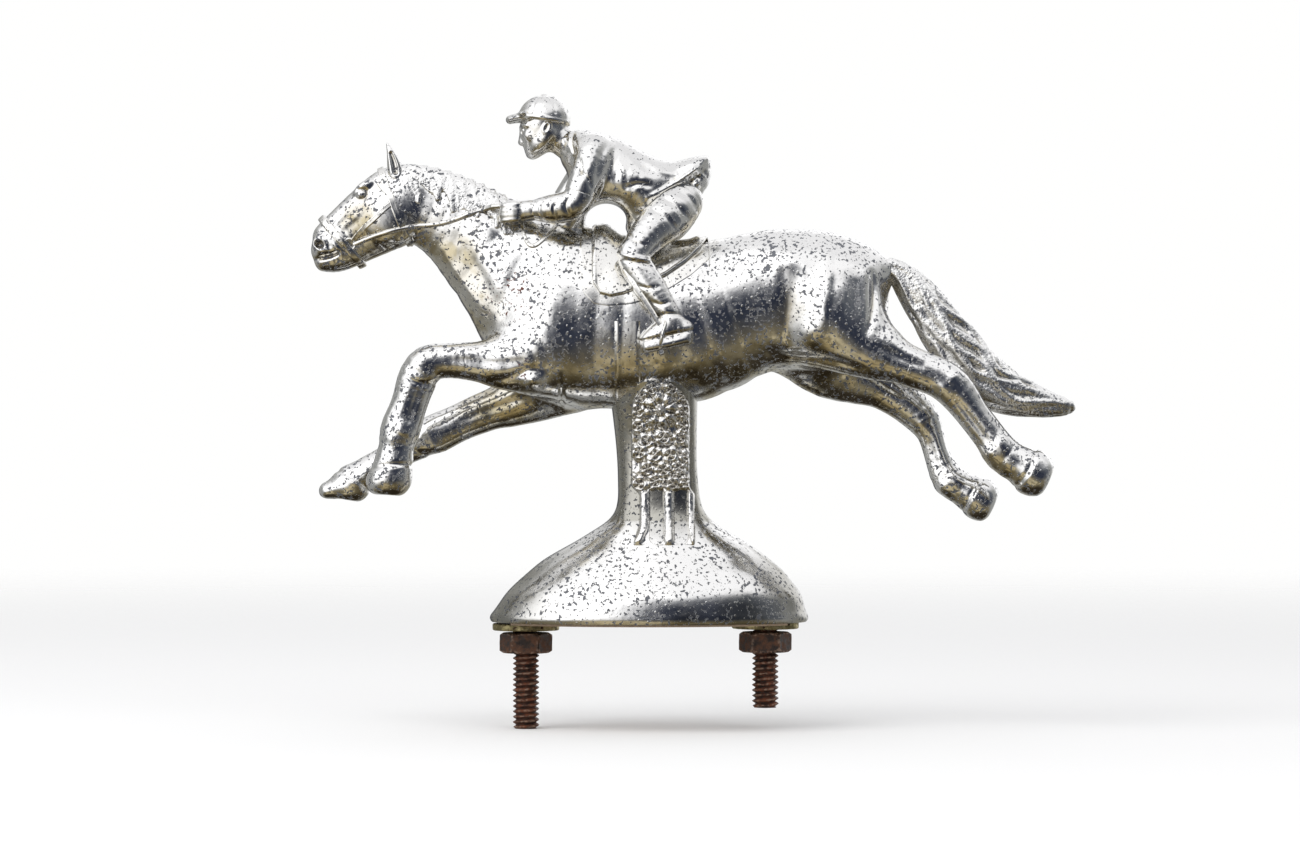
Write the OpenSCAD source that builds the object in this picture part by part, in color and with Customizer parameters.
// Racehorse and rider hood ornament on a domed foot, held down by two studs.
// The horse gallops towards -X. Its near (left) side faces -Y.
// The origin is the middle of the gasket's underside, which lies on the hood.

/* [Foot] */
// Length of the foot along the horse
foot_length = 76.2; // [72:0.2:80]
// Width of the foot across the horse
foot_width = 38.4; // [36:0.2:42]
// Wall thickness of the hollow foot
foot_wall = 2.4; // [2:0.1:3]
// Radius of each boss that holds a stud
boss_r = 5.2; // [4.6:0.1:6]
// Thickness of the gasket under the foot
gasket_t = 0.5; // [0.4:0.1:1.2]
// Distance from the rim to the gasket's edge
gasket_inset = 1; // [0.5:0.1:2]

/* [Studs, washers and nuts] */
// Distance between the two studs
stud_spacing = 57.15; // [54:0.05:60]
// How far the middle of the studs stands ahead of the foot's middle
stud_lead = 0.8; // [0:0.1:1]
// Radius of the stud over its thread crests
thread_r = 3.12; // [3:0.01:3.2]
// Radius of the stud where its nut is run up
neck_r = 2.9; // [2.7:0.05:2.95]
// Distance from the gasket down to where the full thread starts
neck_drop = 8; // [7.6:0.1:9]
// Distance from the gasket down to the front stud's end
front_stud_drop = 25; // [20:0.5:28]
// Distance from the gasket down to the rear stud's end
rear_stud_drop = 20; // [17:0.5:28]
// Outside radius of a washer
washer_r = 8; // [7.4:0.1:8.1]
// Radius of a washer's hole
washer_hole_r = 3.55; // [3.4:0.05:3.8]
// Thickness of a washer
washer_t = 1.6; // [1.2:0.1:1.8]
// Gap between the foot and the front washer
front_washer_gap = 0.4; // [0:0.1:0.5]
// Width of a nut across its flats
nut_flats = 11.1; // [10.8:0.1:11.6]
// Height of a nut
nut_t = 4.8; // [4:0.1:4.8]
// Radial play between a nut's bore and the thread
nut_play = 0.06; // [0.04:0.01:0.1]
// Gap between a washer and its nut at the front
front_nut_gap = 0.6; // [0:0.1:0.6]
// Gap between a washer and its nut at the rear
rear_nut_gap = 0.8; // [0:0.1:1]

/* [Column] */
// Half of the column's width along the horse, at its waist
column_half_x = 9.5; // [8.8:0.1:10]
// Half of the column's depth across the horse, at its waist
column_half_y = 6.4; // [6:0.1:7]
// How far the flower panels stand out of the column
panel_rise = 1.2; // [0.8:0.1:1.6]

/* [Horse] */
// Half width of the horse's ribs
rib_half_w = 14; // [13:0.1:15]
// Distance of the legs from the horse's middle plane
leg_offset = 9; // [8:0.1:10]
// Sides of each rounded limb
limb_sides = 14; // [13:1:18]

/* [Tack] */
// Thickness of the saddle cloth
cloth_t = 0.7; // [0.5:0.1:1]
// Thickness of the saddle over its cloth
saddle_t = 1.3; // [1:0.1:1.6]
// Thickness of the girth and the bridle straps
strap_t = 0.9; // [0.7:0.1:1.2]
// Radius of the reins
rein_r = 0.8; // [0.7:0.1:1]

/* [Hidden] */
$fn = 48;

chrome = [0.80, 0.80, 0.78];
old_chrome = [0.72, 0.71, 0.66];
dark_chrome = [0.55, 0.54, 0.50];
rusty_steel = [0.30, 0.19, 0.14];
worn_brass = [0.62, 0.54, 0.32];
fibre = [0.42, 0.33, 0.24];

near_side = -1;
off_side = 1;
front_end = -1;
rear_end = 1;
level = [0, 0, 1];
lengthwise = [1, 0, 0];
cut_size = 240;
foot_sides = 60;
column_sides = 32;
body_sides = 24;
neck_sides = 20;
head_sides = 18;
strap_sides = 13;
notch_r = washer_r + 0.5;
washer_seat_gap = 0.02;
boss_h = 11;
stud_hole_depth = 7.5;
end_chamfer = 0.7;
stud_x = stud_spacing / 2;
nut_corner_r = nut_flats / 2 / cos(30);

// A station is [x, y, z, half size in the path's plane, half size across it].
// The foot's outside, from its rim to where the column stands on it.
foot_half_x = foot_length / 2;
foot_half_y = foot_width / 2;
foot_top = 24.7;
foot_skin = [
    [0, 0, gasket_t, foot_half_x - 0.3, foot_half_y - 0.3],
    [0, 0, 1.4, foot_half_x, foot_half_y],
    [0.2, 0, 3.1, 0.982 * foot_half_x, 0.97 * foot_half_y],
    [0.7, 0, 5.5, 0.95 * foot_half_x, 0.92 * foot_half_y],
    [1.1, 0, 7.9, 0.91 * foot_half_x, 0.86 * foot_half_y],
    [1.4, 0, 10.3, 0.85 * foot_half_x, 0.79 * foot_half_y],
    [1.8, 0, 12.7, 0.785 * foot_half_x, 0.72 * foot_half_y],
    [2, 0, 15.1, 0.705 * foot_half_x, 0.65 * foot_half_y],
    [2.3, 0, 17.5, 0.61 * foot_half_x, 0.58 * foot_half_y],
    [2.5, 0, 19.9, 0.505 * foot_half_x, 0.52 * foot_half_y],
    [2.5, 0, 22.3, 0.395 * foot_half_x, 0.47 * foot_half_y],
    [2.8, 0, foot_top, 0.3 * foot_half_x, 0.43 * foot_half_y]
];
// The hollow inside the foot stops short of the column.
foot_hollow = [for (s = foot_skin) if (s[2] < 18)
    [s[0], 0, s[2] < 1 ? -1 : s[2] - 0.6 * foot_wall, s[3] - foot_wall, s[4] - foot_wall]];

column_skin = [
    [2.8, 0, foot_top, 0.3 * foot_half_x, 0.43 * foot_half_y],
    [2.5, 0, 27.2, column_half_x + 0.9, column_half_y + 0.8],
    [2.3, 0, 31, column_half_x + 0.3, column_half_y + 0.2],
    [2, 0, 37, column_half_x, column_half_y],
    [1.7, 0, 44, column_half_x + 0.2, column_half_y + 0.4],
    [1.4, 0, 50, column_half_x + 0.6, column_half_y + 1.6],
    [1, 0, 58, column_half_x + 1.2, column_half_y + 3.6]
];

// Outline of the flower panel and of the three ribs below it, seen from the side.
panel_left = -4.4;
panel_right = 9.8;
panel_waist = 34;
panel_spring = 50.8;
panel_mid = (panel_left + panel_right) / 2;
panel_half = (panel_right - panel_left) / 2;
rib_spacing = 5.4;
rib_w = 2.2;
rib_low = 25.5;

body_skin = [
    [-34, 0, 69, 4, 4],
    [-31.5, 0, 69.5, 9.5, 8],
    [-27, 0, 70, 15.5, 10.5],
    [-19, 0, 72.5, 21, 12.4],
    [-8, 0, 72, 21, rib_half_w - 0.4],
    [4, 0, 71.2, 19.7, rib_half_w],
    [13, 0, 72.6, 18.6, rib_half_w - 0.5],
    [20, 0, 75, 16.8, rib_half_w - 1],
    [27, 0, 77.3, 16.4, rib_half_w - 1.5],
    [36, 0, 78.2, 16.2, rib_half_w - 1.5],
    [45, 0, 77.7, 15, rib_half_w - 2],
    [52, 0, 77.5, 12.5, rib_half_w - 3.5],
    [57, 0, 77, 9, 7.5],
    [59.5, 0, 76.5, 4, 3.5]
];
neck_skin = [
    [-21.5, 0, 77.5, 15, 9.5],
    [-30, 0, 82.6, 15.8, 9],
    [-39, 0, 90.2, 14.4, 7.8],
    [-46.5, 0, 95.8, 11.5, 6.5],
    [-54, 0, 100, 9.5, 5.6],
    [-59, 0, 102, 7, 4.6]
];
mane_skin = [
    [-56.5, 0, 108.5, 1.6, 1.4],
    [-52, 0, 108.5, 2.6, 2.2],
    [-44, 0, 106.5, 2.8, 2.4],
    [-36, 0, 102.8, 2.8, 2.4],
    [-28.5, 0, 97.8, 2.6, 2.4],
    [-24, 0, 94, 1.8, 1.6]
];
head_skin = [
    [-57, 0, 104, 5, 3.4],
    [-59.5, 0, 101.8, 7.8, 5],
    [-63, 0, 98.4, 9, 5.6],
    [-67.5, 0, 94.8, 7.5, 4.8],
    [-72.7, 0, 91.2, 5.8, 3.8],
    [-76.6, 0, 88.6, 4.8, 3.7],
    [-79.2, 0, 86.8, 3, 2.6]
];
tail_skin = [
    [55.5, 0, 86, 2, 2],
    [59.5, 0, 84.3, 2.9, 2.8],
    [63.5, 0, 80, 4.3, 3.8],
    [69, 0, 73.2, 5.8, 5],
    [74, 0, 65, 7.5, 5.8],
    [80.5, 0, 57.2, 7, 5.5],
    [89, 0, 53.7, 5, 4.2],
    [96.7, 0, 52.4, 3.2, 2.8],
    [101.8, 0, 52, 1.2, 1.2]
];

function near_foreleg_skin() = [
    [-24, -leg_offset + 1.5, 63, 6, 4],
    [-30, -leg_offset + 0.5, 61.6, 5.2, 4],
    [-39.5, -leg_offset, 62.8, 4.3, 3.6],
    [-48.2, -leg_offset, 62.9, 4, 3.4],
    [-54, -leg_offset, 61.6, 4.3, 3.5],
    [-56, -leg_offset, 56.6, 4.2, 2.9],
    [-57.7, -leg_offset, 51.6, 4.2, 2.7],
    [-59.2, -leg_offset, 46, 4, 2.9],
    [-59.8, -leg_offset, 43.2, 3.9, 3.1],
    [-60.6, -leg_offset, 40, 3.2, 2.9],
    [-61.2, -leg_offset, 37, 4.3, 3.6],
    [-62.2, -leg_offset, 33.2, 5, 4.1],
    [-62.6, -leg_offset, 30.4, 3.8, 3.2]
];
function off_foreleg_skin() = [
    [-20, leg_offset - 2, 57, 6, 4],
    [-28.5, leg_offset - 1, 54, 5.6, 4],
    [-39, leg_offset - 1, 51, 4.9, 3.7],
    [-46.5, leg_offset - 1, 47.7, 4.3, 3.4],
    [-53.8, leg_offset - 1, 43.9, 4.1, 3.4],
    [-59.3, leg_offset - 1, 41, 3.1, 2.7],
    [-65, leg_offset - 1, 37.9, 2.9, 2.6],
    [-69, leg_offset - 1, 35.7, 3.1, 2.9],
    [-71.8, leg_offset - 1, 34, 3.3, 3.2],
    [-74.6, leg_offset - 1, 32.3, 3.3, 3.4],
    [-78, leg_offset - 1, 31, 2.3, 2.6],
    [-79.6, leg_offset - 1, 30.4, 1.2, 1.4]
];
function near_hind_leg_skin() = [
    [46, -leg_offset + 2.5, 69, 8, 5],
    [53, -leg_offset + 0.7, 65.5, 5.5, 4],
    [61.5, -leg_offset, 61.6, 4, 3.5],
    [70.5, -leg_offset, 57.8, 4.1, 3.3],
    [74.6, -leg_offset, 54.2, 3.4, 3],
    [78.5, -leg_offset, 49, 2.8, 2.6],
    [82.6, -leg_offset, 43.2, 2.9, 2.7],
    [85.2, -leg_offset, 39.4, 3.6, 3.2],
    [88.2, -leg_offset, 37.2, 3.5, 3.1],
    [91.2, -leg_offset, 35.5, 4.6, 3.8],
    [93.8, -leg_offset, 34.3, 4.3, 3.6],
    [95.6, -leg_offset, 33.6, 2.6, 2.2]
];
function off_hind_leg_skin() = [
    [36, leg_offset - 4, 67, 10, 5],
    [43.5, leg_offset - 2.5, 64.5, 10.5, 5],
    [52, leg_offset - 1, 58.8, 5.5, 4],
    [60.7, leg_offset - 1, 53.5, 4.4, 3.5],
    [66.2, leg_offset - 1, 48.7, 4.2, 3.3],
    [68.4, leg_offset - 1, 43.4, 3.5, 2.9],
    [70, leg_offset - 1, 38.6, 3.4, 2.8],
    [72.2, leg_offset - 1, 34, 3.9, 3.2],
    [75.4, leg_offset - 1, 31, 3.7, 3.2],
    [79, leg_offset - 1, 29.2, 4.6, 3.8],
    [81.8, leg_offset - 1, 28.2, 4.3, 3.6],
    [83.8, leg_offset - 1, 27.6, 2.6, 2.2]
];

// Side outlines of the tack, as [x, z] points.
saddle_outline = [[-11.5, 99], [-14, 82], [-12, 78.2], [-9, 77.2], [-3, 78], [4, 81], [10, 85.5],
    [14.5, 91.5], [15, 99]];
cloth_outline = [[-14, 99], [-16.5, 81.5], [-14, 76.5], [-9.5, 75.2], [-2, 76], [6, 79.5],
    [12.5, 84.5], [17, 91.5], [17.5, 99]];
girth_front = -8;
girth_back = -2;
noseband = [[-75.5, 94.5], [-73, 96], [-67.5, 89], [-70, 87.5]];
cheek_strap = [[-61, 99.6], [-60, 101], [-70.5, 93.2], [-71.5, 92]];
throat_strap = [[-63.5, 107], [-62, 107], [-56.2, 95.5], [-57.6, 94.5]];

rider_body_skin = [
    [14.2, 0, 109.6, 1, 4],
    [11, 0, 107.6, 3, 5.4],
    [7.5, 0, 105.6, 5.2, 6.2],
    [1.5, 0, 105.8, 5.9, 6.4],
    [-5.8, 0, 107.4, 6.8, 7],
    [-11.8, 0, 109.4, 7.6, 7.6],
    [-16, 0, 111.8, 6.2, 7],
    [-19, 0, 114, 3.2, 3.6]
];
rider_neck_skin = [
    [-18, 0, 113, 2.8, 2.8],
    [-20.5, 0, 115, 2.8, 2.8],
    [-22, 0, 116.4, 2.8, 2.8]
];
head_x = -25;
head_z = 117.6;
head_r = 5.3;
cap_z = 120;
cap_r = 5.9;
peak_t = 0.9;
off_arm_reach = 3;

function arm_skin(side, reach) = [
    [-13.5, side * 5.5, 113.6, 3, 3],
    [-14.6, side * 8, 111, 3.5, 3],
    [-16.2 - reach / 2, side * 9.3, 105.5, 3.3, 2.9],
    [-18.2 - reach, side * 9.5, 100.4, 3.3, 2.9],
    [-21.5 - reach, side * 9.2, 98.2, 3, 2.7],
    [-26 - reach / 2, side * 8.6, 98.1, 2.5, 2.4],
    [-30, side * 8, 98, 2.3, 2.3],
    [-33, side * 7.6, 97.8, 2.6, 2.4],
    [-35.2, side * 7.4, 97.5, 1.3, 1.3]
];
function leg_skin(side) = [
    [11.5, side * 4, 103.5, 4, 3.4],
    [8, side * 5.5, 100.5, 6, 4.6],
    [3.5, side * 8.6, 95.6, 6, 4.4],
    [-1.5, side * 11.6, 90.6, 5, 4],
    [-4.6, side * 13.4, 86.2, 4, 3.6],
    [-2.2, side * 14.8, 80.4, 3.6, 3.2],
    [1.4, side * 15.6, 75.6, 3.2, 2.9],
    [4.4, side * 15.8, 72.2, 2.8, 2.6]
];
function shoe_spots(side) = [
    [5.6, side * 16, 71.6, 2.6, 2.4],
    [7.5, side * 16, 69.8, 2.2, 2.2],
    [1, side * 16.2, 68.4, 2.2, 2.2],
    [-1, side * 16.4, 67.4, 1.5, 1.8]
];
function rein_route(side) = [
    [-71.5, side * 4.2, 91],
    [-66, side * 5.6, 93],
    [-60, side * 5.9, 94.6],
    [-53, side * 6.3, 96],
    [-46, side * 7, 97],
    [-40, side * 7.3, 97.8],
    [-35.5, side * 7.4, 98]
];
function leather_route(side) = [
    [-7.6, side * 14.4, 85],
    [-4.4, side * 15.8, 79.6],
    [-1, side * 17.2, 74],
    [1.4, side * 17.8, 70.4]
];
leather_r = 0.8;
iron_x = 2.2;
iron_y = 16.4;
iron_z = 69.4;
iron_half = 3.6;
iron_wire_r = 0.7;

function spot(s) = [s[0], s[1], s[2]];
function unit(v) = v / norm(v);
function heading(s, i) = unit(spot(s[min(i + 1, len(s) - 1)]) - spot(s[max(i - 1, 0)]));
function grown(s, t) = [for (p = s) [p[0], p[1], p[2], p[3] + t, p[4] + t]];
function widened(route, r) = [for (p = route) [p[0], p[1], p[2], r, r]];
function rounded(c, squareness) = sign(c) * pow(abs(c), squareness);

// One ring of points about station i, square to the given direction.
function ring(s, i, direction, n, squareness) =
    let (across = unit([0, 1, 0] - direction * direction[1]), up = cross(across, direction))
    [for (k = [0:n - 1]) spot(s[i]) + s[i][3] * rounded(cos(360 * k / n), squareness) * up
        + s[i][4] * rounded(sin(360 * k / n), squareness) * across];

// A closed skin over the stations. Its rings are square to its path, or to a fixed direction.
module skin(s, n = limb_sides, fixed = undef, squareness = 1) {
    last = len(s) - 1;
    points = [for (i = [0:last])
        each ring(s, i, is_undef(fixed) ? heading(s, i) : fixed, n, squareness)];
    sides = [for (i = [0:last - 1], k = [0:n - 1]) let (a = i * n + k, b = i * n + (k + 1) % n)
        each [[a, b + n, b], [a, a + n, b + n]]];
    ends = [[for (k = [0:n - 1]) k], [for (k = [n - 1:-1:0]) last * n + k]];
    polyhedron(points, concat(sides, ends), convexity = 8);
}

module body_form(t = 0) {
    skin(grown(body_skin, t), body_sides, lengthwise);
}

module neck_form() {
    skin(neck_skin, neck_sides);
}

module head_form(t = 0) {
    skin(grown(head_skin, t), head_sides);
}

module column_form(t = 0) {
    skin(grown(column_skin, t), column_sides, level, 0.8);
}

// What lies within a flat side outline, right across the figure.
module side_cut() {
    rotate([90, 0, 0]) linear_extrude(cut_size, center = true) children();
}

// What lies on one side of the figure's middle plane.
module one_side(side) {
    intersection() {
        children();
        translate([-cut_size / 2, (side - 1) * cut_size / 2, -cut_size / 2]) cube(cut_size);
    }
}

module at_stud(end) {
    translate([end * stud_x - stud_lead, 0, 0]) children();
}

module foot() {
    color(chrome) {
        difference() {
            skin(foot_skin, foot_sides, level);
            skin(foot_hollow, foot_sides, level);
        }
        for (end = [front_end, rear_end]) difference() {
            intersection() {
                at_stud(end) translate([0, 0, gasket_t]) cylinder(h = boss_h, r = boss_r);
                skin(grown(foot_skin, -foot_wall / 2), foot_sides, level);
            }
            at_stud(end) cylinder(h = stud_hole_depth, r = neck_r);
        }
    }
}

// The gasket has an open notch round each washer.
module gasket() {
    half_x = foot_half_x - gasket_inset;
    half_y = foot_half_y - gasket_inset;
    color(fibre) linear_extrude(gasket_t) difference() {
        polygon([for (k = [0:foot_sides - 1])
            [half_x * cos(360 * k / foot_sides), half_y * sin(360 * k / foot_sides)]]);
        for (end = [front_end, rear_end]) translate([end * stud_x - stud_lead, 0]) {
            circle(r = notch_r);
            translate([end * foot_half_x / 2, 0]) square([foot_half_x, 2 * notch_r], center = true);
        }
    }
}

module stud(end, drop) {
    color(rusty_steel) at_stud(end) {
        translate([0, 0, -neck_drop]) cylinder(h = neck_drop + stud_hole_depth, r = neck_r);
        translate([0, 0, end_chamfer - drop]) cylinder(h = drop - neck_drop - end_chamfer, r = thread_r);
        translate([0, 0, -drop]) cylinder(h = end_chamfer, r1 = thread_r - end_chamfer, r2 = thread_r);
    }
}

module washer(end, gap) {
    color(worn_brass) at_stud(end) translate([0, 0, gasket_t - washer_seat_gap - gap - washer_t])
        difference() {
            cylinder(h = washer_t, r = washer_r);
            translate([0, 0, -1]) cylinder(h = washer_t + 2, r = washer_hole_r);
        }
}

// A hexagon with its corners turned down at both ends. The gap is to the foot's underside.
module nut(end, gap) {
    flat_r = nut_flats / 2;
    turned_h = (nut_corner_r - flat_r) / 2;
    color(rusty_steel) at_stud(end)
        translate([0, 0, gasket_t - 2 * washer_seat_gap - gap - washer_t - nut_t]) difference() {
            intersection() {
                cylinder(h = nut_t, r = nut_corner_r, $fn = 6);
                rotate_extrude() polygon([[0, 0], [flat_r, 0], [nut_corner_r + 0.2, turned_h],
                    [nut_corner_r + 0.2, nut_t - turned_h], [flat_r, nut_t], [0, nut_t]]);
            }
            translate([0, 0, -1]) cylinder(h = nut_t + 2, r = thread_r + nut_play);
        }
}

module column() {
    color(old_chrome) difference() {
        column_form();
        body_form();
    }
}

// A round-headed flower panel standing over three ribs.
module flower_panel(side) {
    color(chrome) one_side(side) difference() {
        intersection() {
            column_form(panel_rise);
            side_cut() union() {
                translate([panel_left, panel_waist]) square([2 * panel_half, panel_spring - panel_waist]);
                translate([panel_mid, panel_spring]) circle(r = panel_half);
                for (k = [-1:1]) translate([panel_mid + k * rib_spacing - rib_w / 2, rib_low])
                    square([rib_w, panel_waist - rib_low]);
            }
        }
        column_form();
        body_form();
    }
}

module horse_body() {
    color(chrome) body_form();
}

module horse_neck() {
    color(chrome) difference() {
        neck_form();
        body_form();
    }
}

module mane() {
    color(old_chrome) difference() {
        skin(mane_skin, strap_sides);
        neck_form();
        body_form();
    }
}

module horse_head() {
    color(chrome) difference() {
        head_form();
        neck_form();
    }
}

module ear(side) {
    color(old_chrome) difference() {
        hull() {
            translate([-61, side * 2.8, 106.5]) sphere(r = 2, $fn = 20);
            translate([-62, side * 3, 111.5]) sphere(r = 1.1, $fn = 16);
            translate([-62.2, side * 3, 114]) sphere(r = 0.5, $fn = 16);
        }
        head_form();
        neck_form();
        bridle_form();
        skin(mane_skin, strap_sides);
    }
}

module tail() {
    color(old_chrome) difference() {
        skin(tail_skin, 16);
        body_form();
    }
}

module horse_leg(s, shade) {
    color(shade) difference() {
        skin(s);
        body_form();
        column_form();
    }
}

module saddle_cloth() {
    color(old_chrome) difference() {
        intersection() {
            body_form(cloth_t);
            side_cut() polygon(cloth_outline);
        }
        body_form();
        neck_form();
    }
}

module saddle() {
    color(chrome) difference() {
        intersection() {
            body_form(cloth_t + saddle_t);
            side_cut() polygon(saddle_outline);
        }
        body_form(cloth_t);
        neck_form();
    }
}

module girth() {
    color(old_chrome) difference() {
        intersection() {
            body_form(strap_t);
            side_cut() translate([girth_front, 0]) square([girth_back - girth_front, cut_size]);
        }
        body_form();
        side_cut() polygon(cloth_outline);
        column_form(panel_rise);
    }
}

module bridle_form() {
    intersection() {
        head_form(strap_t);
        side_cut() for (outline = [noseband, cheek_strap, throat_strap]) polygon(outline);
    }
}

module bridle() {
    color(old_chrome) difference() {
        bridle_form();
        head_form();
        neck_form();
    }
}

module rein(side) {
    color(dark_chrome) difference() {
        skin(widened(rein_route(side), rein_r), strap_sides);
        head_form(strap_t);
        neck_form();
        rider_arm_form(side);
    }
}

module rider_shoe_form(side) {
    hull() for (s = shoe_spots(side)) translate(spot(s)) sphere(r = s[3], $fn = 14);
}

module saddled_body_form() {
    body_form(cloth_t + saddle_t);
}

module stirrup(side) {
    color(dark_chrome) difference() {
        union() {
            skin(widened(leather_route(side), leather_r), strap_sides);
            translate([iron_x, side * iron_y, iron_z]) rotate([0, 90, 0])
                rotate_extrude() translate([iron_half, 0]) circle(r = iron_wire_r, $fn = 20);
        }
        skin(leg_skin(side));
        rider_shoe_form(side);
        saddled_body_form();
    }
}

module rider_jacket() {
    color(chrome) difference() {
        skin(rider_body_skin, neck_sides);
        saddled_body_form();
    }
}

module rider_head() {
    color(old_chrome) difference() {
        union() {
            translate([head_x, 0, head_z]) sphere(r = head_r);
            skin(rider_neck_skin, 16);
        }
        skin(rider_body_skin, neck_sides);
        rider_cap_form();
    }
}

// The cap is a dome with a short peak.
module rider_cap_form() {
    difference() {
        translate([head_x + 0.2, 0, cap_z]) sphere(r = cap_r);
        translate([head_x - cap_r, -cap_r, cap_z - 2 * cap_r]) cube(2 * cap_r);
    }
    hull() {
        for (side = [near_side, off_side])
            translate([head_x - 4.4, side * 2.6, cap_z]) cylinder(h = peak_t, r = 1.6);
        translate([head_x - 7.6, 0, cap_z - 0.2]) cylinder(h = peak_t, r = 2);
    }
}

module rider_cap() {
    color(chrome) rider_cap_form();
}

module rider_arm_form(side) {
    skin(arm_skin(side, side == off_side ? off_arm_reach : 0));
}

module rider_arm(side) {
    color(chrome) difference() {
        rider_arm_form(side);
        skin(rider_body_skin, neck_sides);
        neck_form();
        skin(mane_skin, strap_sides);
    }
}

module rider_leg(side) {
    color(chrome) difference() {
        union() {
            skin(leg_skin(side));
            rider_shoe_form(side);
        }
        skin(rider_body_skin, neck_sides);
        saddled_body_form();
    }
}

foot();
gasket();
stud(front_end, front_stud_drop);  // front_stud
stud(rear_end, rear_stud_drop);  // rear_stud
washer(front_end, front_washer_gap);  // front_washer
washer(rear_end, 0);  // rear_washer
nut(front_end, front_washer_gap + front_nut_gap);  // front_nut
nut(rear_end, rear_nut_gap);  // rear_nut
column();
flower_panel(near_side);  // near_flower_panel
flower_panel(off_side);  // off_flower_panel
horse_body();
horse_neck();
mane();
horse_head();
ear(near_side);  // near_ear
ear(off_side);  // off_ear
tail();
horse_leg(near_foreleg_skin(), chrome);  // near_foreleg
horse_leg(off_foreleg_skin(), dark_chrome);  // off_foreleg
horse_leg(near_hind_leg_skin(), chrome);  // near_hind_leg
horse_leg(off_hind_leg_skin(), dark_chrome);  // off_hind_leg
saddle_cloth();
saddle();
girth();
bridle();
rein(near_side);  // near_rein
rein(off_side);  // off_rein
stirrup(near_side);  // near_stirrup
stirrup(off_side);  // off_stirrup
rider_jacket();
rider_head();
rider_cap();
rider_arm(near_side);  // near_arm
rider_arm(off_side);  // off_arm
rider_leg(near_side);  // near_leg
rider_leg(off_side);  // off_leg
